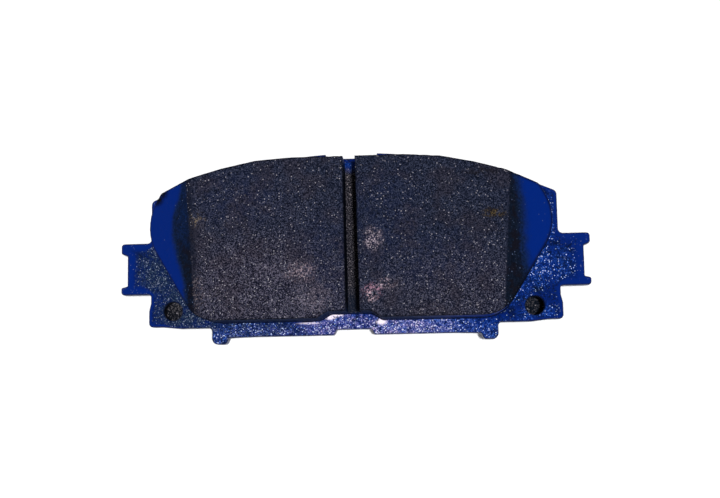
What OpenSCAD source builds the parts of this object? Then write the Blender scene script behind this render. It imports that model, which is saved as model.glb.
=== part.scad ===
// Disc brake pad, lying on its back with the friction face up.
// Origin: middle of the pad's outline, on the outer face of the noise shim.
// +X runs along the ears, +Y towards the crowned edge, +Z towards the disc.

/* [Backing plate] */
// Thickness of the steel plate
plate_t = 5; // [4:0.1:7]
// Radius of the crowned top edge
crown_r = 128; // [115:1:160]
// Distance from the middle to the top of the crown
crown_y = 24.8; // [24.4:0.1:25.4]
// Distance from the middle to the side of a shoulder
shoulder_x = 53; // [52.6:0.1:54]
// Half width of the shallow notch in the top edge
top_notch_x = 6.4; // [3:0.1:10]
// Distance from the middle to the floor of that notch
top_notch_y = 23.4; // [22.8:0.1:24]
// Distance from the middle to the side of a lower lobe
lobe_x = 53.6; // [53.4:0.05:54.5]
// Height of the lobes' lower edge
lobe_y = -19.8; // [-20.4:0.1:-19.4]
// Distance from the middle to the outer side of a foot
foot_x = 37; // [36:0.05:39]
// Width of a foot
foot_w = 3.75; // [3.5:0.05:5]
// Height of the feet's lower ends
foot_y = -24.6; // [-25.2:0.1:-24]
// Height of the lower edge between the feet
ledge_y = -22.8; // [-23.2:0.1:-22.2]
// Half width of the shallow notch in the lower edge
low_notch_x = 4.45; // [3:0.1:8]
// Height of that notch's floor
low_notch_y = -21.4; // [-21.8:0.1:-20.8]

/* [Ears] */
// Distance from the middle to the tips of the prongs
ear_tip_x = 61; // [60.6:0.05:62.5]
// Distance from the middle to the abutment face between the prongs
ear_face_x = 59.35; // [58:0.05:60]
// Height of an ear's top edge
ear_top_y = 2.3; // [1.5:0.1:3.5]
// Height of an ear's lower edge
ear_low_y = -11.25; // [-12:0.05:-10]
// Height of an upper prong at its tip
upper_prong = 2.65; // [2:0.05:3]
// Height of a lower prong at its tip
lower_prong = 1.95; // [1.8:0.05:2.6]

/* [Rivet holes] */
// Radius of the two holes in the lower corners
hole_r = 2.4; // [1.5:0.1:2.6]
// Distance from the middle to the left hole
left_hole_x = 47.2; // [46:0.1:48]
// Height of the left hole
left_hole_y = -15.7; // [-16.4:0.1:-15.4]
// Distance from the middle to the right hole
right_hole_x = 46.4; // [46:0.1:48]
// Height of the right hole
right_hole_y = -16.2; // [-16.4:0.1:-15.4]

/* [Friction lining] */
// Height of the friction face above the plate
face_h = 10.5; // [7:0.1:13]
// Thickness of the bonding film
bond_t = 0.15; // [0.1:0.05:0.3]
// Thickness of the insulating underlayer
underlayer_t = 1.5; // [1:0.1:3]
// Sideways offset of the lining on the plate
lining_x = -0.55; // [-0.8:0.05:0.8]
// Height of the lining's top edge
lining_top_y = 22; // [21.6:0.1:22.5]
// Height of the lining's lower edge
lining_low_y = -19; // [-19.8:0.1:-18.8]
// Width of the slot between the two blocks, halfway up
slot_w = 3.2; // [1.5:0.1:4]
// Distance of the slot from the middle
slot_x = 0.25; // [-2:0.05:2]
// Lean of the slot, in degrees
slot_lean = 0.6; // [-2:0.1:2]
// Angle between the slot's two walls, which widens it downwards
slot_taper = 0.5; // [0:0.1:2]
// Distance from the middle to the start of an end chamfer
chamfer_x = 39.3; // [37:0.1:44]
// Lean of the line where a chamfer starts, in degrees
chamfer_lean = 4; // [0:0.5:10]
// Slope of the end chamfers, in degrees
chamfer_angle = 28; // [15:1:30]

/* [Noise shim] */
// Gap between the plate's edge and the shim's edge
shim_inset = 1.1; // [0.8:0.1:1.4]
// Thickness of each rubber coat
rubber_t = 0.15; // [0.1:0.05:0.3]
// Thickness of the steel sheet
shim_t = 0.5; // [0.3:0.1:0.8]
// Thickness of the adhesive film
adhesive_t = 0.1; // [0.1:0.05:0.2]

/* [Hidden] */

// Heights of the layers, from the back to the friction face
core_z = rubber_t;
inner_z = core_z + shim_t;
adhesive_z = inner_z + rubber_t;
plate_z = adhesive_z + adhesive_t;
bond_z = plate_z + plate_t;
underlayer_z = bond_z + bond_t;
block_z = underlayer_z + underlayer_t;
face_z = plate_z + plate_t + face_h;
block_t = face_z - block_z;

// Degrees of arc between two points of a rounded corner
arc_step = 9;
// Facets of the crown's cylinder and of the rivet holes, which are true rounds
crown_fn = 180;
hole_fn = 48;
// Larger than the pad, for cutting tools
reach = 100;
// How far a cutting tool runs past the faces it cuts
past = 1;

// The corners below are [x, y, radius], for x > 0, from the top to the bottom.

// The crown cuts the plate's top, so its two corners stand above it,
// on the line that touches the crown near the shoulder
crown_cy = crown_y - crown_r;
touch_x = shoulder_x - 2;
touch_y = crown_cy + sqrt(crown_r * crown_r - touch_x * touch_x);
touch_slope = touch_x / (touch_y - crown_cy);
above_y = crown_y + past;
above_x = touch_x - (above_y - touch_y) / touch_slope;
shoulder_y = touch_y - touch_slope * (shoulder_x - touch_x);

// How far a notch's sloping sides spread over their height
top_flare = 0.7;
low_flare = 0.75;
// Height of the prongs' sloping inner sides
upper_slope = 0.65;
lower_slope = 0.4;
// The waist between an ear and its lobe, and where the lobe begins
waist_x = shoulder_x + 0.1;
waist_y = -13.5;
lobe_top_y = -15.6;
// The lobe's lower edge drops by this much between the two distances
lobe_drop = 0.5;
drop_start_x = 50;
drop_end_x = 45.2;
foot_root_x = foot_x - foot_w - 0.7;
foot_root_y = ledge_y - 0.2;
// Where the ledge begins to rise gently towards the feet
ledge_turn_x = 26;

top_corners = [
    [top_notch_x, top_notch_y, 0.4],
    [top_notch_x + top_flare, above_y, 0],
    [above_x, above_y, 0],
    [shoulder_x, shoulder_y, 1.5]];
ear_corners = [
    [shoulder_x, ear_top_y, 1.2],
    [ear_tip_x, ear_top_y, 0.9],
    [ear_tip_x, ear_top_y - upper_prong, 0.6],
    [ear_face_x, ear_top_y - upper_prong - upper_slope, 0.3],
    [ear_face_x, ear_low_y + lower_prong + lower_slope, 0.3],
    [ear_tip_x, ear_low_y + lower_prong, 0.5],
    [ear_tip_x, ear_low_y, 0.85],
    [waist_x, ear_low_y, 0.7]];
lobe_corners = [
    [waist_x, waist_y, 1.5],
    [lobe_x, lobe_top_y, 1.5],
    [lobe_x, lobe_y, 1.1],
    [drop_start_x, lobe_y, 6],
    [drop_end_x, lobe_y - lobe_drop, 6]];
foot_corners = [
    [foot_x, lobe_y - lobe_drop, 0.9],
    [foot_x, foot_y, 1.6],
    [foot_x - foot_w, foot_y, 1],
    [foot_root_x, foot_root_y, 0.5]];
ledge_corners = [
    [ledge_turn_x, ledge_y, 12],
    [low_notch_x + low_flare, ledge_y, 0.5],
    [low_notch_x, low_notch_y, 0.5]];
plate_half = concat(top_corners, ear_corners, lobe_corners, foot_corners, ledge_corners);

// The lining's crown falls in three straight runs joined by curves
crown_end_x = 23.5;
fall_x = 39.6;
fall_y = lining_top_y - 4.5;
tip_x = 48.6;
tip_y = lining_top_y - 7.7;
// Where the lines of the rounded end meet, at its widest and at its foot
bulge_x = 54;
bulge_y = 5.5;
lining_foot_x = 38.6;
// The arch over the plate's lower notch
arch_x = 5.3;
arch_foot_x = 8;
arch_h = 1.7;

lining_half = [
    [crown_end_x, lining_top_y, 66],
    [fall_x, fall_y, 8],
    [tip_x, tip_y, 2],
    [bulge_x, bulge_y, 12],
    [lining_foot_x, lining_low_y, 9],
    [arch_foot_x, lining_low_y, 1.2],
    [arch_x, lining_low_y + arch_h, 1.2]];

// The shim follows the plate but skips its small steps
shim_notch_gap = 1;
shim_shoulder_drop = 1.4 * shim_inset;
shim_foot_out_x = foot_x + 1.6;
shim_foot_in_x = foot_x - 1.2;

shim_half = [
    [top_notch_x + shim_notch_gap, top_notch_y - shim_inset, 0.6],
    [top_notch_x + shim_notch_gap + top_flare, above_y, 0],
    [above_x, above_y - shim_inset, 0],
    [shoulder_x - shim_inset, shoulder_y - shim_shoulder_drop, 3],
    [shoulder_x - shim_inset, lobe_y + shim_inset, 2.5],
    [shim_foot_out_x, lobe_y + shim_inset, 1.5],
    [shim_foot_in_x, ledge_y + shim_inset, 1.5],
    [low_notch_x + shim_notch_gap + low_flare, ledge_y + shim_inset, 0.6],
    [low_notch_x + shim_notch_gap, low_notch_y + shim_inset, 0.6]];

function xy(p) = [p[0], p[1]];
function unit(v) = v / norm(v);
function turned(v, a) = [v[0] * cos(a) - v[1] * sin(a), v[0] * sin(a) + v[1] * cos(a)];

// The arc that rounds corner p between its neighbours a and b
function rounded(a, p, b) =
    let (
        u = unit(xy(a) - xy(p)),
        v = unit(xy(b) - xy(p)),
        half = acos(u * v) / 2,
        centre = xy(p) + unit(u + v) * p[2] / sin(half),
        start = xy(p) + u * p[2] / tan(half) - centre,
        turn = (cross(u, v) > 0 ? -1 : 1) * (180 - 2 * half),
        n = ceil(abs(turn) / arc_step)
    )
    [for (i = [0:n]) centre + turned(start, turn * i / n)];

function corner(a, p, b) = p[2] == 0 ? [xy(p)] : rounded(a, p, b);

// The corners of one side, then the same corners mirrored
function both_sides(half) =
    concat(half, [for (i = [len(half) - 1:-1:0]) [-half[i][0], half[i][1], half[i][2]]]);

function outline(corners) =
    let (n = len(corners))
    [for (i = [0:n - 1]) each corner(corners[(i + n - 1) % n], corners[i], corners[(i + 1) % n])];

module slab(half, z, t) {
    translate([0, 0, z]) linear_extrude(t) polygon(outline(both_sides(half)));
}

// A slab whose top edge is cut to the crown, inset from it
module crowned_slab(half, z, t, inset) {
    intersection() {
        slab(half, z, t);
        translate([0, crown_cy, z]) cylinder(r = crown_r - inset, h = t, $fn = crown_fn);
    }
}

module rivet_hole(x, y) {
    translate([x, y, plate_z - past]) cylinder(r = hole_r, h = plate_t + 2 * past, $fn = hole_fn);
}

module lining_slab(z, t) {
    translate([lining_x, 0, 0]) slab(lining_half, z, t);
}

module backing_plate() {
    color("mediumblue") difference() {
        crowned_slab(plate_half, plate_z, plate_t, 0);
        rivet_hole(-left_hole_x, left_hole_y);
        rivet_hole(right_hole_x, right_hole_y);
    }
}

module bond_film() {
    color("peru") lining_slab(bond_z, bond_t);
}

module underlayer() {
    color("rosybrown") lining_slab(underlayer_z, underlayer_t);
}

// Everything to the right of the slot's left wall
module right_of_slot() {
    translate([slot_x - slot_w / 2, 0, block_z - past]) rotate([0, 0, slot_lean - slot_taper / 2])
        translate([0, -reach / 2, 0]) cube([reach, reach, block_t + 2 * past]);
}

// Everything to the left of the slot's right wall
module left_of_slot() {
    translate([slot_x + slot_w / 2, 0, block_z - past]) rotate([0, 0, slot_lean + slot_taper / 2])
        translate([-reach, -reach / 2, 0]) cube([reach, reach, block_t + 2 * past]);
}

// Everything above the ramp at the +X end of a lining that stands in the middle
module above_ramp() {
    translate([chamfer_x, 0, face_z]) rotate([0, 0, -chamfer_lean])
        rotate([0, chamfer_angle, 0]) translate([0, -reach / 2, 0]) cube([reach, reach, 2 * block_t]);
}

module friction_block_left() {
    color("darkslategray") difference() {
        lining_slab(block_z, block_t);
        right_of_slot();
        translate([lining_x, 0, 0]) mirror([1, 0, 0]) above_ramp();
    }
}

module friction_block_right() {
    color("dimgray") difference() {
        lining_slab(block_z, block_t);
        left_of_slot();
        translate([lining_x, 0, 0]) above_ramp();
    }
}

module shim_adhesive() {
    color("lightgray") crowned_slab(shim_half, adhesive_z, adhesive_t, shim_inset);
}

module shim_inner_rubber() {
    color("gray") crowned_slab(shim_half, inner_z, rubber_t, shim_inset);
}

module shim_core() {
    color("silver") crowned_slab(shim_half, core_z, shim_t, shim_inset);
}

module shim_outer_rubber() {
    color("black") crowned_slab(shim_half, 0, rubber_t, shim_inset);
}

backing_plate();
bond_film();
underlayer();
friction_block_left();
friction_block_right();
shim_adhesive();
shim_inner_rubber();
shim_core();
shim_outer_rubber();
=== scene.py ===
"""A disc brake pad lying on its back with the lining up, in a plain pale studio.

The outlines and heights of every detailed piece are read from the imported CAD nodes. Lengths are in
metres. The numbers from 0 to 1 in the noise and material calls are shares or noise levels."""
import math

import bmesh
import bpy
import numpy as np
from mathutils import Matrix, Vector
from mathutils.bvhtree import BVHTree
from mathutils.geometry import delaunay_2d_cdt
from mathutils.kdtree import KDTree


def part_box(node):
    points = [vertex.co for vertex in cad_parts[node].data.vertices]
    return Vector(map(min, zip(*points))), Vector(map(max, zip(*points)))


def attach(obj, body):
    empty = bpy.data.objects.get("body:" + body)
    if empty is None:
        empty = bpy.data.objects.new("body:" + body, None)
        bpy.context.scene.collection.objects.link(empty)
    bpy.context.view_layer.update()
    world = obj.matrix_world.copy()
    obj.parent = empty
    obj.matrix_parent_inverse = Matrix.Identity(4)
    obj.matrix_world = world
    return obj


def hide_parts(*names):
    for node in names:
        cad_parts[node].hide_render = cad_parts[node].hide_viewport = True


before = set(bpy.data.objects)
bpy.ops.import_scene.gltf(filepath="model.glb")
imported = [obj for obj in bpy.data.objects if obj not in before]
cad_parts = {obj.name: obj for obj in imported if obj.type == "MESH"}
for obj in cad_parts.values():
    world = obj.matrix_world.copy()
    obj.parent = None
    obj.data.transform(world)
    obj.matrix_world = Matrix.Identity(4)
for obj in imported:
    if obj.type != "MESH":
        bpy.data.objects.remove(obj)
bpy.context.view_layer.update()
MM = 0.001

PLATE_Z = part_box("backing_plate")[1].z
LINING_LOW, LINING_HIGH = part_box("friction_block_left")
FACE_Z = LINING_HIGH.z


# ---------------------------------------------------------------- noise

# Large odd numbers that scatter neighbouring lattice points
SCATTER = (374761393, 668265263, 1442695041, 1013904223)
STIR = (1274126177, 2246822519)


def hashed(i, j, k, seed):
    """A number from 0 to 1 for each lattice point, out of the middle 16 bits of a scrambled sum."""
    n = i * SCATTER[0] + j * SCATTER[1] + k * SCATTER[2] + seed * SCATTER[3]
    n = (n ^ (n >> 13)) * STIR[0] & 0xFFFFFFFF
    n = (n ^ (n >> 15)) * STIR[1] & 0xFFFFFFFF
    return ((n >> 8) & 0xFFFF) / 0xFFFF


def value_noise(p, size, seed):
    """Smooth noise from 0 to 1 at each row of p, with lumps about size across."""
    q = p / size
    cell = np.floor(q).astype(np.int64)
    f = q - cell
    s = f * f * (3 - 2 * f)
    total = np.zeros(len(p))
    for corner in np.ndindex(2, 2, 2):
        weight = np.ones(len(p))
        for axis, c in enumerate(corner):
            weight *= s[:, axis] if c else 1 - s[:, axis]
        total += weight * hashed(*(cell + corner).T, seed)
    return total


def layered(p, size, seed, octaves=3):
    """Noise with finer layers on top, from 0 to 1."""
    total, share, sum_of = np.zeros(len(p)), 1.0, 0.0
    for octave in range(octaves):
        total += share * value_noise(p, size / 2**octave, seed + octave)
        sum_of += share
        share /= 2
    return total / sum_of


def smooth(low, high, x):
    """Rises softly from 0 at low to 1 at high, or falls if high is the smaller one."""
    t = np.clip((x - low) / (high - low), 0, 1)
    return t * t * (3 - 2 * t)


# ---------------------------------------------------------------- outlines from the CAD

def welded(node):
    """The node's CAD mesh with its shared corners joined."""
    bm = bmesh.new()
    bm.from_mesh(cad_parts[node].data)
    bmesh.ops.remove_doubles(bm, verts=bm.verts, dist=0.0005 * MM)
    return bm


def flat_loops(node, z, up):
    """The closed outlines of the node's flat face at height z, largest first, solid on the left."""
    bm = welded(node)
    near = 0.002 * MM
    level = [f for f in bm.faces if f.normal.z * up > 0.999]
    faces = {f for f in level if all(abs(v.co.z - z) < near for v in f.verts)}
    after = {}
    for f in faces:
        for loop in f.loops:
            if not any(g in faces for g in loop.edge.link_faces if g is not f):
                a, b = loop.vert, loop.link_loop_next.vert
                after[(a if up > 0 else b).index] = (b if up > 0 else a).index
    bm.verts.ensure_lookup_table()
    where = [v.co.xy.to_tuple() for v in bm.verts]
    bm.free()
    loops = []
    while after:
        start, i = next(iter(after.items()))
        ring = [start]
        del after[start]
        while i != start:
            ring.append(i)
            i = after.pop(i)
        loops.append(np.array([where[i] for i in ring]))
    return sorted(loops, key=lambda p: -np.ptp(p[:, 0]))


def densify(ring, step):
    """The same outline with points no further apart than step."""
    out = []
    for a, b in zip(ring, np.roll(ring, -1, 0)):
        n = max(1, math.ceil(np.linalg.norm(b - a) / step))
        out += [a + (b - a) * i / n for i in range(n)]
    return np.array(out)


def outward(ring):
    """Unit normals that point out of the solid, which lies left of the ring."""
    along = np.roll(ring, -1, 0) - np.roll(ring, 1, 0)
    n = np.stack([along[:, 1], -along[:, 0]], 1)
    return n / np.linalg.norm(n, axis=1, keepdims=True)


def inside(p, rings):
    """True for the points inside the outer ring and outside the holes."""
    odd = np.zeros(len(p), bool)
    for ring in rings:
        for (ax, ay), (bx, by) in zip(ring, np.roll(ring, -1, 0)):
            if ay != by:
                crosses = (ay > p[:, 1]) != (by > p[:, 1])
                odd ^= crosses & (p[:, 0] < (bx - ax) * (p[:, 1] - ay) / (by - ay) + ax)
    return odd


def distance_to(rings, p):
    """How far each of the points p is from the nearest point of the rings."""
    tree = KDTree(sum(len(r) for r in rings))
    for i, q in enumerate(np.concatenate(rings)):
        tree.insert((q[0], q[1], 0), i)
    tree.balance()
    return np.array([tree.find((x, y, 0))[2] for x, y in p])


def fill_points(rings, step, skirts):
    """Points for the inside of a face: rows close to the rim, and a shaken grid."""
    rng = np.random.default_rng(7)
    every = [densify(r, step / 3) for r in rings]
    low, high = rings[0].min(0), rings[0].max(0)
    nx, ny = np.ceil((high - low) / step).astype(int)
    gx, gy = np.meshgrid(np.arange(nx), np.arange(ny), indexing="ij")
    grid = np.stack([(gx + 0.5 * (gy % 2)).ravel(), gy.ravel()], 1) * step + low
    shake = 0.22
    grid += rng.uniform(-shake, shake, grid.shape) * step
    grid = grid[inside(grid, rings)]
    far = distance_to(every, grid)
    grid = grid[far > (skirts[-1] if skirts else 0) + 0.55 * step]
    rows = [grid]
    for depth in skirts:
        for ring in rings:
            row = ring - outward(ring) * depth
            row = row[inside(row, rings)]
            row = row[distance_to(every, row) > 0.9 * depth]
            rows.append(row)
    return np.concatenate(rows)


def triangles(rings, extra):
    """The rim points, the extra points and the triangles that join them inside the rings."""
    points = np.concatenate([*rings, extra]) if len(extra) else np.concatenate(rings)
    edges, start = [], 0
    for ring in rings:
        n = len(ring)
        edges += [(start + i, start + (i + 1) % n) for i in range(n)]
        start += n
    # The triangulation works in millimetres, so that its tolerance is small beside the outline
    verts = [Vector((x * 1000, y * 1000)) for x, y in points]
    _, _, tris, origin, _, _ = delaunay_2d_cdt(verts, edges, [], 0, 1e-6)
    back = [o[0] if o else -1 for o in origin]
    tris = np.array([[back[i] for i in t] for t in tris if len(t) == 3])
    tris = tris[(tris >= 0).all(1)]
    middle = points[tris].mean(1)
    return points, tris[inside(middle, rings)]


# ---------------------------------------------------------------- detailed slabs

class Slab:
    """A CAD node with vertical walls, remade with a fine skin that can be shaped.

    co is the place of each vertex and out its outward direction. On the top skin, rim is the distance
    to the outline. Down the wall, ring runs from 0 at the top edge to 1 at the bottom, and it is -1
    everywhere else."""

    def __init__(self, node, step, skirts, wall_step):
        low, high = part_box(node)
        rings = [densify(r, step) for r in flat_loops(node, low.z, -1)]
        points, tris = triangles(rings, fill_points(rings, step, skirts))
        normals = np.concatenate([outward(r) for r in rings])
        n_rim, n_top = len(normals), len(points)
        rows = max(2, round((high.z - low.z) / wall_step))
        top = np.column_stack([points, self.cast(node, points, normals, high.z)])
        sideways = np.column_stack([normals, np.zeros(n_rim)])
        co, out, ring = [top], [np.tile((0.0, 0, 1), (n_top, 1))], [np.full(n_top, -1.0)]
        out[0][:n_rim] = sideways
        ring[0][:n_rim] = 0
        for r in range(1, rows + 1):
            t = r / rows
            z = top[:n_rim, 2] * (1 - t) + low.z * t
            co.append(np.column_stack([points[:n_rim], z]))
            out.append(sideways)
            ring.append(np.full(n_rim, t))
        self.co, self.out, self.ring = np.concatenate(co), np.concatenate(out), np.concatenate(ring)
        self.rim = np.zeros(len(self.co))
        self.rim[:n_top] = distance_to([densify(r, step / 3) for r in rings], points)
        self.rim[:n_rim] = 0
        self.n_rim, self.n_top, self.low = n_rim, n_top, low
        self.faces = [tuple(t) for t in self.facing_up(points, tris)]
        start = 0
        row_start = [0] + [n_top + r * n_rim for r in range(rows)]
        for loop in rings:
            n = len(loop)
            for r in range(rows):
                a, b = row_start[r] + start, row_start[r + 1] + start
                for i in range(n):
                    j = (i + 1) % n
                    self.faces.append((a + i, b + i, b + j, a + j))
            start += n
        base, under = triangles(rings, np.zeros((0, 2)))
        last = row_start[-1]
        self.faces += [tuple(last + i for i in t[::-1]) for t in self.facing_up(base, under)]
        self.loop_of = np.concatenate([np.full(len(r), k) for k, r in enumerate(rings)])

    @staticmethod
    def facing_up(points, tris):
        """The same triangles, each wound so that it faces up."""
        a, b, c = (points[tris[:, i]] for i in range(3))
        u, v = b - a, c - a
        turn = u[:, 0] * v[:, 1] - u[:, 1] * v[:, 0]
        return np.where((turn > 0)[:, None], tris, tris[:, ::-1])

    @staticmethod
    def cast(node, points, normals, top):
        """The CAD's height at each point; rim points look just inside the wall."""
        bm = welded(node)
        tree = BVHTree.FromBMesh(bm)
        bm.free()
        just_inside = 0.02 * MM
        look = points.copy()
        look[:len(normals)] -= normals * just_inside
        z = []
        for x, y in look:
            hit = tree.ray_cast(Vector((x, y, top + 1)), Vector((0, 0, -1)))[0]
            z.append(hit.z if hit else top)
        return np.array(z)

    def round_rim(self, width, depth):
        """Lowers the top skin near the rim in a quarter ellipse, and the wall's rows with it."""
        near = np.clip(1 - self.rim[:self.n_top] / width, 0, 1)
        drop = depth * (1 - np.sqrt(1 - near**2))
        self.co[:self.n_top, 2] -= drop
        rows = (len(self.co) - self.n_top) // self.n_rim
        for r in range(rows):
            start = self.n_top + r * self.n_rim
            t = (r + 1) / rows
            self.co[start:start + self.n_rim, 2] -= drop[:self.n_rim] * (1 - t)

    def piece(self, name, slot, *nodes, **values):
        """The Blender object that stands in for the nodes, with the values as vertex attributes."""
        mesh = bpy.data.meshes.new(name)
        mesh.from_pydata(self.co.tolist(), [], self.faces)
        mesh.validate()
        for key, v in values.items():
            mesh.attributes.new(key, "FLOAT", "POINT").data.foreach_set("value", v.astype(np.float32))
        mesh.shade_smooth()
        obj = bpy.data.objects.new(name, mesh)
        bpy.context.scene.collection.objects.link(obj)
        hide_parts(*nodes)
        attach(obj, "root")
        return obj


# ---------------------------------------------------------------- the pieces

def bump_in(slab, amount, rows):
    """Moves the chosen vertices inwards or down by amount."""
    slab.co[rows] -= slab.out[rows] * amount[rows, None]


def make_plate():
    """Stamped plate: rolled edges, sheared and torn side walls, soft ripples under the coat."""
    skirts = [0.1 * MM, 0.22 * MM, 0.38 * MM, 0.6 * MM]
    s = Slab("backing_plate", step=0.35 * MM, skirts=skirts, wall_step=0.3 * MM)
    s.round_rim(width=0.75 * MM, depth=0.45 * MM)
    top = s.ring < 0
    ripple = (layered(s.co, 2.2 * MM, 3) - 0.5) * 0.05 * MM
    grain = (layered(s.co, 0.7 * MM, 5) - 0.5) * 0.035 * MM
    s.co[top, 2] += np.minimum(ripple + grain, 0.0)[top]
    stretched = s.co * (1, 1, 0.12)
    streaks = layered(stretched, 0.45 * MM, 9) * 0.04 * MM
    torn = smooth(0.55, 0.72, s.ring + 0.12 * (value_noise(s.co, 3 * MM, 4) - 0.5))
    rough = layered(s.co, 0.5 * MM, 12) * 0.08 * MM
    back_edge = smooth(0.72, 1.0, s.ring) * 0.55 * MM
    sheared = streaks * (1 - torn) + (0.03 * MM + rough) * torn
    bump_in(s, np.where(s.ring >= 0, sheared + back_edge, 0), s.ring >= 0)
    hole = np.zeros(len(s.co))
    in_hole = np.flatnonzero(s.loop_of > 0)
    for start in range(s.n_top, len(s.co), s.n_rim):
        hole[start + in_hole] = 1
    edge = np.where(top | (s.ring == 0), 1 - smooth(0.1 * MM, 0.45 * MM, s.rim), 0.6)
    outline = flat_loops("backing_plate", s.low.z, -1)[0]
    outer = distance_to([densify(outline, 0.2 * MM)], s.co[:, :2])
    tips = smooth(51 * MM, 56 * MM, np.abs(s.co[:, 0]))
    reach = (0.9 + 2.2 * tips + 1.2 * (layered(s.co, 2.5 * MM, 15) - 0.5)) * MM
    shore = (1 - smooth(0.4 * reach, reach, outer)) * smooth(40 * MM, 50 * MM, np.abs(s.co[:, 0]))
    return s.piece("plate_stamping", "plate_powder_coat", "backing_plate", edge=edge, shore=shore, hole=hole)


# How steeply the chamfers at the lining's ends fall
RAMP_SLOPE = math.tan(math.radians(28))
# Pairs of mm up the pad and of how many mm beyond the chamfer's line the smooth blue begins there
BLUE_FROM_LEFT = ((-10.5, 2.6), (-7.5, 3.0), (-2, 4.2), (3.3, 5.1), (8, 4.3), (12.3, 2.3), (16, 1.4))
BLUE_FROM_RIGHT = ((-12, 4.6), (0, 3.2), (8, 2.8), (17, 0.4))


def make_block(side):
    """Ground friction block: granular skin, rubbed-down and chipped rim, coated ramp and walls."""
    node = f"friction_block_{side}"
    s = Slab(node, step=0.22 * MM, skirts=[0.07 * MM, 0.16 * MM, 0.3 * MM], wall_step=0.24 * MM)
    seed = 20 if side == "left" else 60
    ramp_drop = np.zeros(len(s.co))
    ramp_drop[:s.n_top] = FACE_Z - s.co[:s.n_top, 2]
    for start in range(s.n_top, len(s.co), s.n_rim):
        ramp_drop[start:start + s.n_rim] = ramp_drop[:s.n_rim]
    top = s.ring < 0
    near_slot = (np.abs(s.co[:, 0]) < 3 * MM) & (np.abs(s.out[:, 0]) > 0.9) & (s.ring >= 0)
    chip = smooth(0.56, 0.75, layered(s.co * (1, 1, 0.4), 1.5 * MM, seed))
    top_chip = chip[:s.n_top]
    s.round_rim(width=(0.16 + 0.5 * top_chip) * MM, depth=(0.14 + 0.35 * top_chip) * MM)
    along = ramp_drop / RAMP_SLOPE / MM + 1.1 * (layered(s.co, 1.6 * MM, seed + 9) - 0.5)
    on_ramp = smooth(0, 0.4 * MM, ramp_drop)
    height = s.co[:, 1] / MM
    if side == "left":
        bare_width = np.interp(height, *zip(*BLUE_FROM_LEFT))
        film = 0.06 + 0.18 * smooth(-6, 6, height)
        coat = np.maximum(smooth(-1.0, 1.9, along - bare_width), film * on_ramp)
    else:
        bare_width = np.interp(height, *zip(*BLUE_FROM_RIGHT))
        full = 0.3 + 0.7 * smooth(-12, 1, height + 0.4 * along)
        coat = smooth(-0.8, 4.2, along - bare_width) * full * on_ramp
    rough = 1 - 0.8 * coat
    grain = layered(s.co, 0.55 * MM, seed + 1) * 0.10 * MM
    pits = smooth(0.68, 0.86, value_noise(s.co, 0.9 * MM, seed + 4)) * 0.16 * MM
    s.co[top, 2] -= ((grain + pits) * rough)[top]
    sink = layered(s.co, 0.8 * MM, seed + 6) * 0.08 * MM + chip * smooth(0.25, 0, s.ring) * 0.2 * MM
    bump_in(s, np.where(s.ring >= 0, sink, 0), s.ring >= 0)
    ragged = (layered(s.co, 1.2 * MM, seed + 12) - 0.5) * 1.6
    ends = np.minimum(LINING_HIGH.y - s.co[:, 1], s.co[:, 1] - LINING_LOW.y) / MM
    in_slot = 0.6 * (1 - smooth(1.0, 3.2, ends + ragged))
    # Painted shade: walls that face down the pad get less blue, down to dark film colours, most of all on
    # the left
    low_side = smooth(0.3, 0.8, -s.out[:, 1])
    right_part = smooth(5, 40, s.co[:, 0] / MM)
    spray_and_wall_shade = 1 - low_side * (1 - 0.85 * right_part) * 0.75
    paint = np.where(top, coat, np.where(near_slot, in_slot, spray_and_wall_shade))
    paint = np.where(s.ring == 0, coat, paint)
    near_line = (ramp_drop > 0.02 * MM) & (ramp_drop < 0.15 * MM)
    lean, middle = np.polyfit(s.co[near_line, 1], np.abs(s.co[near_line, 0]), 1)
    inward = middle + lean * s.co[:, 1] - np.abs(s.co[:, 0])
    soot = (0.45 if side == "left" else 0.2) * (1 - smooth(0, 2.6 * MM, inward))
    ramp = np.where(top, np.maximum(smooth(0, 0.7 * MM, ramp_drop), soot), 1)
    rim_width = np.where(s.co[:, 0] > 40 * MM, 0.9, 0.5) * MM
    rim = np.where(top | (s.ring == 0), 1 - smooth(0, rim_width, s.rim), 0)
    return s.piece(f"lining_{side}", "friction_compound", node, paint=paint, ramp=ramp, rim=rim)


def make_underlayer():
    """Insulating layer: its top shows as the slot's floor, its edge under the blocks."""
    s = Slab("underlayer", step=0.3 * MM, skirts=[0.1 * MM], wall_step=0.2 * MM)
    s.co[s.ring < 0, 2] -= (layered(s.co, 0.6 * MM, 91) * 0.12 * MM)[s.ring < 0]
    bump_in(s, np.where(s.ring >= 0, layered(s.co, 0.8 * MM, 95) * 0.1 * MM, 0), s.ring >= 0)
    top_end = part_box("underlayer")[1].y
    end = (top_end - s.co[:, 1]) / MM
    ragged = (layered(s.co, 1.2 * MM, 97) - 0.5) * 1.6
    paint = np.where(s.ring >= 0, 0.5, 1 - smooth(0.4, 3.4, end + ragged))
    return s.piece("slot_floor_layer", "underlayer_compound", "underlayer", paint=paint)


def make_bond():
    """Bonding film with an uneven bead of squeezed-out resin along its edge."""
    s = Slab("bond_film", step=0.4 * MM, skirts=[], wall_step=0.05 * MM)
    bead = (0.05 + 0.3 * layered(s.co * (1, 1, 0), 2.5 * MM, 33)) * MM
    bump_in(s, np.where(s.ring >= 0, -bead * (0.4 + 0.6 * s.ring), 0), s.ring >= 0)
    return s.piece("bond_bead", "bond_resin", "bond_film")


def make_adhesive():
    """Shim adhesive, whose gritty face closes the two rivet holes."""
    s = Slab("shim_adhesive", step=0.5 * MM, skirts=[], wall_step=0.05 * MM)
    s.co[s.ring < 0, 2] -= (layered(s.co, 0.7 * MM, 71) * 0.05 * MM)[s.ring < 0]
    return s.piece("shim_glue_film", "shim_adhesive", "shim_adhesive")


# ---------------------------------------------------------------- materials

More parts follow.
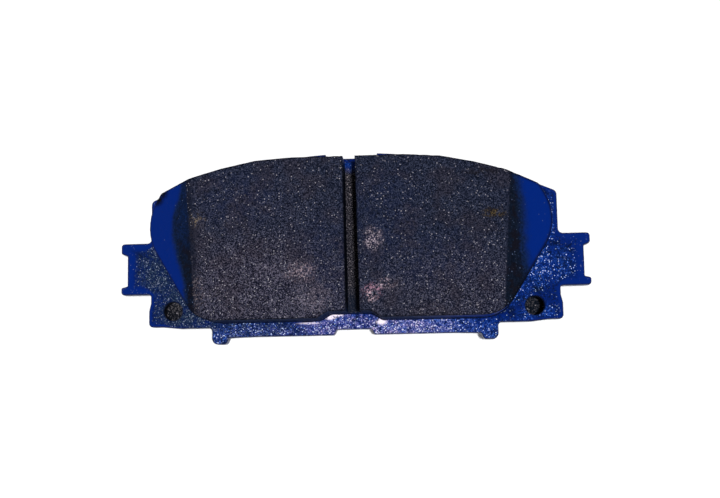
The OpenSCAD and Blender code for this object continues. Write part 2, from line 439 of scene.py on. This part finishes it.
class Tree:
    """A material's nodes, with short calls for the few kinds used here."""

    def __init__(self, name):
        self.material = bpy.data.materials.new(name)
        self.material.use_nodes = True
        self.tree = self.material.node_tree
        self.tree.nodes.clear()
        out = self.tree.nodes.new("ShaderNodeOutputMaterial")
        self.shader = self.tree.nodes.new("ShaderNodeBsdfPrincipled")
        self.tree.links.new(self.shader.outputs[0], out.inputs["Surface"])
        self.place = self.add("ShaderNodeTexCoord").outputs["Object"]

    def add(self, kind, inputs=None, **settings):
        """A new node with its sockets linked or set."""
        n = self.tree.nodes.new(kind)
        for key, value in settings.items():
            setattr(n, key, value)
        for key, value in (inputs or {}).items():
            self.put(n.inputs[key], value)
        return n

    def put(self, socket, value):
        """Links the socket to another one, or sets its value."""
        if isinstance(value, bpy.types.NodeSocket):
            self.tree.links.new(value, socket)
        else:
            socket.default_value = value

    def set(self, **values):
        """Links or sets sockets of the shader itself."""
        for key, value in values.items():
            self.put(self.shader.inputs[key.replace("_", " ")], value)

    def noise(self, size, detail=3, roughness=0.55, stretch=None):
        """Noise with lumps about size across."""
        place = self.place
        if stretch:
            place = self.add("ShaderNodeMapping", {"Vector": place, "Scale": stretch}).outputs[0]
        inputs = {"Vector": place, "Scale": 1 / size, "Detail": detail, "Roughness": roughness}
        return self.add("ShaderNodeTexNoise", inputs).outputs[0]

    def cells(self, size):
        """Round-ish grains: how far from the grain's middle, and a random number for each grain."""
        v = self.add("ShaderNodeTexVoronoi", {"Vector": self.place, "Scale": 1 / size})
        pick = self.add("ShaderNodeSeparateColor", {0: v.outputs["Color"]}).outputs[0]
        return v.outputs["Distance"], pick

    def flakes(self, size, share):
        """Small flakes over the given share of the surface, and a random tone for each flake."""
        away, pick = self.cells(size)
        chosen = self.span(self.math("ADD", pick, share), 0.97, 1.03)
        tone = self.span(self.math("DIVIDE", self.math("SUBTRACT", 1.0, pick), share), 1.0, 0.0)
        return self.times(chosen, self.span(away, 0.6, 0.3)), tone

    def zones(self, places):
        """The strongest of several soft ellipses, each a middle, a reach in mm and an amount."""
        total = None
        for (x, y), (wide, tall), amount in places:
            middle = (x * MM, y * MM, 0)
            shape = (1 / (wide * MM), 1 / (tall * MM), 0)
            away = self.vector("SUBTRACT", self.place, middle).outputs[0]
            away = self.vector("MULTIPLY", away, shape).outputs[0]
            away = self.vector("LENGTH", away).outputs["Value"]
            blob = self.span(away, 1.35, 0.35, 0.0, amount)
            total = self.math("MAXIMUM", total, blob) if total else blob
        return total

    def vector(self, kind, a, b=(0, 0, 0)):
        return self.add("ShaderNodeVectorMath", {0: a, 1: b}, operation=kind)

    def math(self, kind, a, b=0.0):
        return self.add("ShaderNodeMath", {0: a, 1: b}, operation=kind).outputs[0]

    def times(self, a, b):
        return self.math("MULTIPLY", a, b)

    def span(self, value, low, high, start=0.0, end=1.0):
        """Turns value from low to high softly into start to end."""
        inputs = {0: value, 1: low, 2: high, 3: start, 4: end}
        return self.add("ShaderNodeMapRange", inputs, interpolation_type="SMOOTHSTEP").outputs[0]

    def attribute(self, name):
        return self.add("ShaderNodeAttribute", attribute_name=name).outputs["Fac"]

    def ramp(self, value, *stops):
        """A colour for each value, through stops of a place from 0 to 1 and a colour."""
        n = self.add("ShaderNodeValToRGB", {0: value})
        while len(n.color_ramp.elements) < len(stops):
            n.color_ramp.elements.new(0.5)
        for element, (at, colour) in zip(n.color_ramp.elements, stops):
            element.position = at
            element.color = (*colour, 1)
        return n.outputs[0]

    def mix(self, share, a, b):
        """The colour a with the given share of b over it."""
        n = self.add("ShaderNodeMix", data_type="RGBA")
        self.put(n.inputs[0], share)
        for i, colour in ((6, a), (7, b)):
            self.put(n.inputs[i], colour if isinstance(colour, bpy.types.NodeSocket) else (*colour, 1))
        return n.outputs[2]

    def bump(self, height, depth):
        n = self.add("ShaderNodeBump", {"Height": height, "Distance": depth})
        self.set(Normal=n.outputs[0])


# The plate's coat
NAVY = (0.0006, 0.0045, 0.026)
COAT_BLUE = (0.0007, 0.0115, 0.115)
ROYAL = (0.0002, 0.0130, 0.136)
DULL_BLUE = (0.0008, 0.0062, 0.036)
TEAL_GREY = (0.030, 0.054, 0.082)
# Colours of the painted paler sheen and of the painted glints on the coat
SHEEN_BLUE = (0.008, 0.050, 0.300)
SHEEN_VIOLET = (0.040, 0.056, 0.235)
GLINT_BLUE = (0.045, 0.120, 0.380)
GLINT_VIOLET = (0.155, 0.160, 0.430)
SCRAPE = (0.0008, 0.0016, 0.004)
# Painted shade for the walls of the rivet holes
HOLE_SHADE_DEEP = (0.0003, 0.0008, 0.003)
HOLE_SHADE_PALE = (0.002, 0.005, 0.016)
# Its flakes and grains, and the colours of its painted glints
LIGHT_BLUE = (0.055, 0.150, 0.560)
PINK = (0.62, 0.48, 0.74)
PALE = (0.42, 0.58, 1.0)
ICE = (0.82, 0.82, 1.0)
GREY_BLUE = (0.24, 0.32, 0.46)
GRAIN_DIM = (0.035, 0.055, 0.105)
GRAIN_PALE = (0.30, 0.34, 0.46)
GLINT_WHITE = (0.90, 0.80, 0.92)
# The friction face: a dark, a middle and a pale grain for its plain parts and for its parts lightened by
# painted highlight
DULL_GRIT = ((0.0018, 0.0030, 0.0085), (0.0085, 0.0122, 0.0265), (0.041, 0.047, 0.080))
HIGHLIT_GRIT = ((0.0026, 0.0028, 0.0070), (0.0150, 0.0145, 0.0285), (0.145, 0.130, 0.175))
OVERSPRAY = (0.008, 0.014, 0.048)
WARM = (0.036, 0.027, 0.032)
SPECK_DIM = (0.045, 0.050, 0.082)
SPECK_PALE = (0.36, 0.34, 0.38)
PORE = (0.0018, 0.0024, 0.006)
SMUDGE = (0.0075, 0.0055, 0.0055)
RIM_DARK = (0.001, 0.0016, 0.004)
# The thin film on its chamfers
SOOT = (0.0022, 0.0042, 0.0095)
SOOT_LIGHT = (0.0048, 0.0088, 0.0200)
FILM = (0.0022, 0.0070, 0.025)
FILM_LIGHT = (0.0044, 0.0140, 0.058)
STAIN = (0.0048, 0.0042, 0.0075)
STRAY_DIM = (0.010, 0.020, 0.045)
STRAY_PALE = (0.08, 0.11, 0.19)
# The slot's floor and the film behind the rivet holes
FLOOR_GRIT = ((0.0035, 0.0040, 0.0062), (0.0155, 0.0155, 0.022), (0.098, 0.090, 0.105))
FLOOR_SPECKS = ((0.10, 0.085, 0.095), (0.42, 0.36, 0.38))
FLOOR_SHADE = (0.006, 0.011, 0.024)
FLOOR_BLUE = ((0.0006, 0.0095, 0.085), (0.008, 0.040, 0.22))
FLOOR_FLAKE = (0.10, 0.16, 0.42)
GLUE_GRIT = ((0.0035, 0.0045, 0.007), (0.016, 0.018, 0.026), (0.11, 0.10, 0.105))
GLUE_SPECKS = ((0.08, 0.08, 0.10), (0.35, 0.33, 0.36))
GLUE_SHADE = (0.0025, 0.0055, 0.012)

# Where glints are painted on the coat, as pale flakes over a painted paler blue sheen: middle and reach in
# mm, and how much
GLINT_ZONES = [
    ((15.5, -21.0), (18, 5.0), 1.0),
    ((-3, -20.5), (14, 4.5), 0.8),
    ((-25, -22.5), (22, 3.6), 0.46),
    ((-36, -23.0), (4.5, 3.0), 0.50),
    ((37, -22.5), (10, 3.6), 0.52),
    ((47, -5), (4.5, 8), 0.50),
    ((41, -12), (6, 5), 0.42),
    ((53, -6), (5, 6), 0.34),
    ((50.8, 6), (1.8, 8), 0.36),
    ((47, -19), (6, 4), 0.45),
]
# Where the painted glints and sheen lean to violet
VIOLET = [((-4, -22), (34, 6), 1.0)]
# Where it is dull and grainy instead
DULL = [
    ((-51, -5), (7, 8), 0.9),
    ((-44, -15), (9, 8), 1.0),
    ((-30, -21), (18, 4), 0.7),
]
# Short runs of painted near-white glints beside the lining's lower edge
WHITE_GLINT_SPOTS = [
    ((-6.1, -18.2), (1.5, 0.65), 1.0),
    ((-4.4, -17.7), (1.7, 0.42), 1.0),
    ((-11.5, -19.6), (3.2, 0.28), 0.6),
    ((7.1, -19.6), (1.4, 0.8), 1.0),
]
# The slot's darker low end, and the surroundings of the right rivet hole
SLOT_LOW_END = [((0.2, -17), (6, 6), 0.75)]
RIGHT_HOLE = [((46.4, -16.2), (9, 9), 1.0)]
# The corner where the coat is scraped off both the plate and the lining
SCRAPED = [
    ((-50.0, 12.8), (1.9, 1.7), 1.0),
    ((-48.4, 14.3), (1.6, 1.7), 0.9),
]


def scraped(t, colour):
    """Adds the dark scraped corner to a material."""
    ragged = t.span(t.noise(0.8 * MM, 3, 0.6), 0.30, 0.44)
    return t.mix(t.times(t.zones(SCRAPED), ragged), colour, SCRAPE)


def powder_coat():
    """Deep blue coat over small lumps, with painted glints of pale flakes on a painted paler sheen in
    places, dull and grainy in others.
    """
    t = Tree("powder_coat")
    base = t.ramp(t.noise(2.2 * MM, 4), (0.30, NAVY), (0.52, COAT_BLUE), (0.75, ROYAL))
    shore = t.attribute("shore")
    inland = t.span(shore, 0.8, 0.25)
    fine = t.span(t.noise(0.26 * MM, 1), 0.44, 0.66)
    dull = t.times(inland, t.span(t.noise(3 * MM, 2), 0.3, 0.6, 0.5, 1.0))
    dull = t.times(t.zones(DULL), dull)
    colour = t.mix(dull, base, DULL_BLUE)
    colour = t.mix(t.times(dull, fine), colour, TEAL_GREY)
    colour = t.mix(t.times(t.span(t.noise(0.5 * MM, 1), 0.52, 0.36), 0.8), colour, NAVY)

    violet = t.zones(VIOLET)
    # Painted highlight: in the glint zones the coat is painted a paler blue sheen, then pale glint flakes
    glints = t.times(t.zones(GLINT_ZONES), t.span(t.noise(1.1 * MM, 3), 0.28, 0.62, 0.35, 1.15))
    glints = t.times(glints, inland)
    colour = t.mix(t.times(t.span(glints, 0.05, 0.5), fine), colour, t.mix(violet, SHEEN_BLUE, SHEEN_VIOLET))
    dense_glints = t.times(t.span(glints, 0.35, 1.0), t.span(fine, 0, 1, 0.15, 0.95))
    colour = t.mix(dense_glints, colour, t.mix(violet, GLINT_BLUE, GLINT_VIOLET))
    colour = t.mix(shore, colour, ROYAL)

    # A few stray flakes all over, and many more as painted glints in the glint zones
    crowd = t.math("ADD", t.times(glints, 0.46), t.times(inland, 0.03))
    flake, tone = t.flakes(0.29 * MM, crowd)
    pinkish = t.times(t.span(glints, 0.3, 0.8), t.span(t.noise(2.5 * MM, 2), 0.40, 0.58))
    tint = t.mix(t.times(pinkish, violet), LIGHT_BLUE, PINK)
    pale = t.mix(t.span(tone, 0.5, 0.9), tint, t.mix(glints, PALE, ICE))
    plain = t.mix(t.times(tone, tone), TEAL_GREY, GREY_BLUE)
    colour = t.mix(flake, colour, t.mix(t.span(glints, 0.02, 0.3), plain, pale))
    grain, tone = t.flakes(0.23 * MM, t.times(dull, 0.34))
    colour = t.mix(grain, colour, t.mix(t.times(tone, tone), GRAIN_DIM, GRAIN_PALE))
    # Painted highlight: near-white glints beside the lining's lower edge
    white_glints = t.times(t.zones(WHITE_GLINT_SPOTS), t.span(t.noise(0.45 * MM, 2), 0.36, 0.46))
    colour = t.mix(white_glints, colour, GLINT_WHITE)

    colour = scraped(t, t.mix(t.times(t.attribute("edge"), 0.8), colour, NAVY))
    # Painted shade: the walls of the rivet holes are painted near-black
    in_hole = t.mix(t.span(t.noise(0.5 * MM, 3), 0.35, 0.65), HOLE_SHADE_DEEP, HOLE_SHADE_PALE)
    colour = t.mix(t.attribute("hole"), colour, in_hole)
    t.bump(t.math("ADD", t.noise(0.75 * MM, 2, 0.6), t.times(t.noise(0.28 * MM, 2), 0.5)), 0.10 * MM)
    roughness = t.span(t.noise(2 * MM), 0.3, 0.7, 0.3, 0.45)
    t.set(Base_Color=colour, Roughness=roughness, Specular_IOR_Level=0.12)
    return t.material


# Rubbed and stained patches of the friction face: middle and reach in mm, share, grain colour
SCARS = [
    ((-20.1, -6.6), (4.0, 2.4), 0.2, (0.38, 0.32, 0.42)),
    ((-12.5, -7.3), (4.2, 2.6), 0.62, (0.50, 0.38, 0.44)),
    ((-9.5, -13.5), (5.0, 4.0), 0.40, (0.40, 0.34, 0.42)),
    ((5.9, 0.6), (2.4, 3.0), 0.95, (0.56, 0.46, 0.54)),
    ((5.4, -12.4), (2.6, 2.0), 0.9, (0.46, 0.25, 0.34)),
    ((5.2, -13.6), (1.6, 1.6), 0.9, (0.62, 0.46, 0.52)),
    ((9.0, -10.6), (2.6, 1.3), 0.9, (0.60, 0.46, 0.54)),
    ((36.5, 6.5), (3.4, 1.2), 0.4, (0.28, 0.20, 0.08)),
    ((-38.6, 6.6), (2.2, 2.2), 0.5, (0.30, 0.23, 0.15)),
    ((-39.5, -13), (3.0, 6), 0.40, (0.40, 0.32, 0.34)),
]
# Dark brown smudges
SMUDGES = [
    ((36.5, 6.4), (4.2, 1.5), 0.85),
    ((33, 17.0), (4.5, 1.2), 0.6),
]
# Broad parts of the face painted lighter than the rest, a painted highlight that is strongest low on the
# face
HIGHLIT_FACE = [
    ((-24, -13), (27, 17), 0.62),
    ((26, -13), (26, 12), 0.34),
    ((-28, 4), (24, 15), 0.13),
]
# Broad parts with a breath of blue overspray
HAZE = [
    ((-28, 12), (12, 8), 0.35),
    ((9, 6), (10, 14), 0.35),
    ((20, -4), (16, 9), 0.3),
    ((-6, -4), (8, 12), 0.3),
]


def gritty(t, grit, middle_at, colours):
    """The dark, middle and pale grain colours for a grit noise from 0 to 1."""
    return t.ramp(grit, *zip((0.0, middle_at, 1.0), colours))


def chamfer_film(t, paint):
    """What covers the chamfers and the walls: soot, then a thin film, then the smooth blue. On the lower
    walls its darker end also stands for painted shade.
    """
    mottle = t.span(t.noise(0.5 * MM, 3), 0.35, 0.68)
    bare = t.mix(mottle, SOOT, SOOT_LIGHT)
    coat = t.mix(t.span(paint, 0.0, 0.3), bare, t.mix(mottle, FILM, FILM_LIGHT))
    stain = t.times(t.span(t.noise(2.2 * MM, 3, 0.6), 0.45, 0.62), t.span(paint, 0.3, 0.1))
    coat = t.mix(t.times(stain, 0.8), coat, STAIN)
    coat = t.mix(t.span(paint, 0.3, 1.0), coat, ROYAL)
    stray, tone = t.flakes(0.30 * MM, t.span(paint, 0.0, 0.7, 0.04, 0.004))
    return t.mix(stray, coat, t.mix(t.times(tone, tone), STRAY_DIM, STRAY_PALE))


def friction():
    """Dark compound with pale and warm grains, under a blue coat where the paint mask says so."""
    t = Tree("friction_compound")
    grit = t.span(t.noise(0.28 * MM, 1), 0.30, 0.72)
    # Painted highlight: the highlit parts of the face get paler grit and more pale specks
    face_highlight = t.zones(HIGHLIT_FACE)
    colour = t.mix(face_highlight, gritty(t, grit, 0.45, DULL_GRIT), gritty(t, grit, 0.45, HIGHLIT_GRIT))
    haze = t.times(t.zones(HAZE), t.span(t.noise(1.5 * MM, 2), 0.3, 0.65))
    colour = t.mix(haze, colour, OVERSPRAY)
    warm = t.span(t.noise(7 * MM, 3), 0.46, 0.64, 0.0, 0.5)
    colour = t.mix(t.times(warm, grit), colour, WARM)
    crowd = t.math("ADD", t.span(t.noise(3 * MM, 2), 0.35, 0.65, 0.03, 0.12), t.times(face_highlight, 0.14))
    bright, tone = t.flakes(0.29 * MM, crowd)
    colour = t.mix(bright, colour, t.mix(t.times(tone, t.times(tone, tone)), SPECK_DIM, SPECK_PALE))
    pores = t.span(t.noise(0.55 * MM, 2), 0.44, 0.30)
    colour = t.mix(t.times(pores, 0.85), colour, PORE)

    scratches = t.span(t.noise(0.36 * MM, 2, 0.6), 0.47, 0.67)
    patchy = t.span(t.noise(1.6 * MM, 3, 0.6), 0.36, 0.60)
    colour = t.mix(t.times(t.zones(SMUDGES), patchy), colour, SMUDGE)
    for middle, reach, share, tint in SCARS:
        place = t.times(t.zones([(middle, reach, share)]), patchy)
        colour = t.mix(t.times(place, scratches), colour, tint)

    paint = t.attribute("paint")
    frayed = t.math("ADD", t.attribute("ramp"), t.times(t.math("SUBTRACT", grit, 0.5), 0.7))
    covered = t.math("MAXIMUM", t.span(paint, 0.1, 0.4), t.span(frayed, 0.3, 0.8))
    colour = t.mix(covered, colour, chamfer_film(t, paint))
    colour = scraped(t, t.mix(t.times(t.attribute("rim"), 0.85), colour, RIM_DARK))
    height = t.math("ADD", t.noise(0.45 * MM, 3), t.times(grit, 0.6))
    t.bump(t.times(height, t.span(paint, 0.2, 0.8, 1.0, 0.1)), 0.08 * MM)
    t.set(Base_Color=colour, Roughness=t.span(paint, 0.1, 0.8, 0.8, 0.4), Specular_IOR_Level=0.03)
    return t.material


def slot_floor():
    """Underlayer seen at the bottom of the slot: grey grit, dark low down, blue at the upper end."""
    t = Tree("underlayer_compound")
    grit = t.span(t.noise(0.30 * MM, 1), 0.34, 0.7)
    colour = gritty(t, grit, 0.5, FLOOR_GRIT)
    bright, tone = t.flakes(0.32 * MM, t.span(t.noise(3 * MM, 2), 0.4, 0.65, 0.02, 0.14))
    colour = t.mix(bright, colour, t.mix(tone, *FLOOR_SPECKS))
    colour = t.mix(t.zones(SLOT_LOW_END), colour, FLOOR_SHADE)
    blue = t.mix(grit, *FLOOR_BLUE)
    flake, _ = t.flakes(0.30 * MM, 0.10)
    paint = t.attribute("paint")
    colour = t.mix(paint, colour, t.mix(flake, blue, FLOOR_FLAKE))
    t.bump(t.noise(0.4 * MM, 3), 0.1 * MM)
    t.set(Base_Color=colour, Roughness=t.span(paint, 0, 1, 0.85, 0.5), Specular_IOR_Level=0.04)
    return t.material


def resin():
    """Cured bonding resin under the same dark blue overspray."""
    t = Tree("bond_resin")
    colour = t.ramp(t.noise(1.5 * MM), (0.35, (0.0006, 0.002, 0.01)), (0.65, NAVY))
    t.set(Base_Color=colour, Roughness=0.5, Specular_IOR_Level=0.1)
    t.bump(t.noise(0.5 * MM), 0.05 * MM)
    return t.material


def glue():
    """The film's gritty face, seen at the bottom of the rivet holes. The right one is darker."""
    t = Tree("shim_adhesive")
    colour = gritty(t, t.span(t.noise(0.36 * MM, 2), 0.40, 0.68), 0.5, GLUE_GRIT)
    colour = t.mix(t.times(t.zones(RIGHT_HOLE), 0.55), colour, GLUE_SHADE)
    speck, tone = t.flakes(0.34 * MM, 0.06)
    colour = t.mix(speck, colour, t.mix(tone, *GLUE_SPECKS))
    t.set(Base_Color=colour, Roughness=0.7, Specular_IOR_Level=0.06)
    t.bump(t.noise(0.5 * MM), 0.1 * MM)
    return t.material


def rubber():
    """Matt black rubber coat."""
    t = Tree("shim_rubber")
    colour = t.ramp(t.noise(1.0 * MM), (0.3, (0.008, 0.008, 0.009)), (0.7, (0.017, 0.017, 0.018)))
    roughness = t.span(t.noise(4 * MM), 0.3, 0.7, 0.6, 0.8)
    t.set(Base_Color=colour, Roughness=roughness, Specular_IOR_Level=0.3)
    t.bump(t.noise(0.3 * MM), 0.04 * MM)
    return t.material


def steel():
    """Cold-rolled sheet with fine lines along the pad."""
    t = Tree("shim_steel")
    lines = t.noise(0.3 * MM, 3, 0.6, (0.03, 1, 1))
    colour = t.ramp(lines, (0.3, (0.36, 0.36, 0.37)), (0.7, (0.55, 0.55, 0.56)))
    t.set(Base_Color=colour, Metallic=1.0, Roughness=t.span(lines, 0.3, 0.7, 0.3, 0.45))
    t.bump(lines, 0.02 * MM)
    return t.material


def dress(obj, material):
    """Gives the object one material all over."""
    obj.data.materials.clear()
    obj.data.materials.append(material)


dress(make_plate(), powder_coat())
compound = friction()
for side in ("left", "right"):
    dress(make_block(side), compound)
dress(make_underlayer(), slot_floor())
dress(make_bond(), resin())
dress(make_adhesive(), glue())
black = rubber()
for name, material in (("shim_outer_rubber", black), ("shim_inner_rubber", black), ("shim_core", steel())):
    dress(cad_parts[name], material)


# ---------------------------------------------------------------- floor, light and camera

def make_sun():
    """A soft light from almost overhead whose mirror glare is left out, as a polarising filter does."""
    data = bpy.data.lights.new("key", "SUN")
    data.energy = 3.4
    data.angle = math.radians(6)
    sun = bpy.data.objects.new("key", data)
    towards_sun = Vector((0.19, -0.07, 1))
    sun.rotation_euler = towards_sun.to_track_quat("Z", "Y").to_euler()
    sun.visible_glossy = False
    bpy.context.scene.collection.objects.link(sun)


def make_floor():
    """A plain pale floor that reaches past everything the camera sees."""
    bm = bmesh.new()
    bmesh.ops.create_circle(bm, cap_ends=True, segments=96, radius=4.0)
    mesh = bpy.data.meshes.new("floor")
    bm.to_mesh(mesh)
    bm.free()
    floor = bpy.data.objects.new("floor", mesh)
    bpy.context.scene.collection.objects.link(floor)
    t = Tree("pale_floor")
    colour = t.ramp(t.noise(0.4), (0.3, (0.86, 0.86, 0.86)), (0.7, (0.88, 0.88, 0.88)))
    t.set(Base_Color=colour, Roughness=0.9, Specular_IOR_Level=0.1)
    dress(floor, t.material)


def make_world():
    """A pale surround near the horizon, and a dimmer one overhead, so that the sun does the lighting."""
    world = bpy.data.worlds.new("studio")
    world.use_nodes = True
    nodes, links = world.node_tree.nodes, world.node_tree.links
    back = nodes["Background"]
    where = nodes.new("ShaderNodeTexCoord")
    split = nodes.new("ShaderNodeSeparateXYZ")
    shade = nodes.new("ShaderNodeMapRange")
    shade.interpolation_type = "SMOOTHSTEP"
    band_low, band_high = 0.15, 0.45
    horizon_light, overhead_light = 1.05, 0.22
    for i, value in enumerate((band_low, band_high, horizon_light, overhead_light), start=1):
        shade.inputs[i].default_value = value
    links.new(where.outputs["Generated"], split.inputs[0])
    links.new(split.outputs["Z"], shade.inputs[0])
    links.new(shade.outputs[0], back.inputs["Strength"])
    back.inputs["Color"].default_value = (1, 1, 1, 1)
    bpy.context.scene.world = world


def make_camera():
    """Looks almost straight down at the lining, from a little below and to the right of its middle."""
    distance = 0.3
    roll, yaw, pitch = math.radians(1.466), math.radians(-3.587), math.radians(-7.0)
    turn = Matrix.Rotation(roll, 3, "Z") @ Matrix.Rotation(yaw, 3, "Y") @ Matrix.Rotation(pitch, 3, "X")
    aim_side, aim_up = 1.89 * MM, -0.57 * MM
    data = bpy.data.cameras.new("camera")
    data.sensor_width = 36
    data.lens = 57.82
    data.clip_start = 0.01
    camera = bpy.data.objects.new("camera", data)
    spot = turn.transposed() @ Vector((aim_side, 0, distance)) + Vector((0, aim_up, PLATE_Z))
    camera.matrix_world = Matrix.Translation(spot) @ turn.transposed().to_4x4()
    bpy.context.scene.collection.objects.link(camera)
    bpy.context.scene.camera = camera


make_floor()
make_world()
make_sun()
make_camera()

bpy.context.scene.view_settings.view_transform = "Standard"
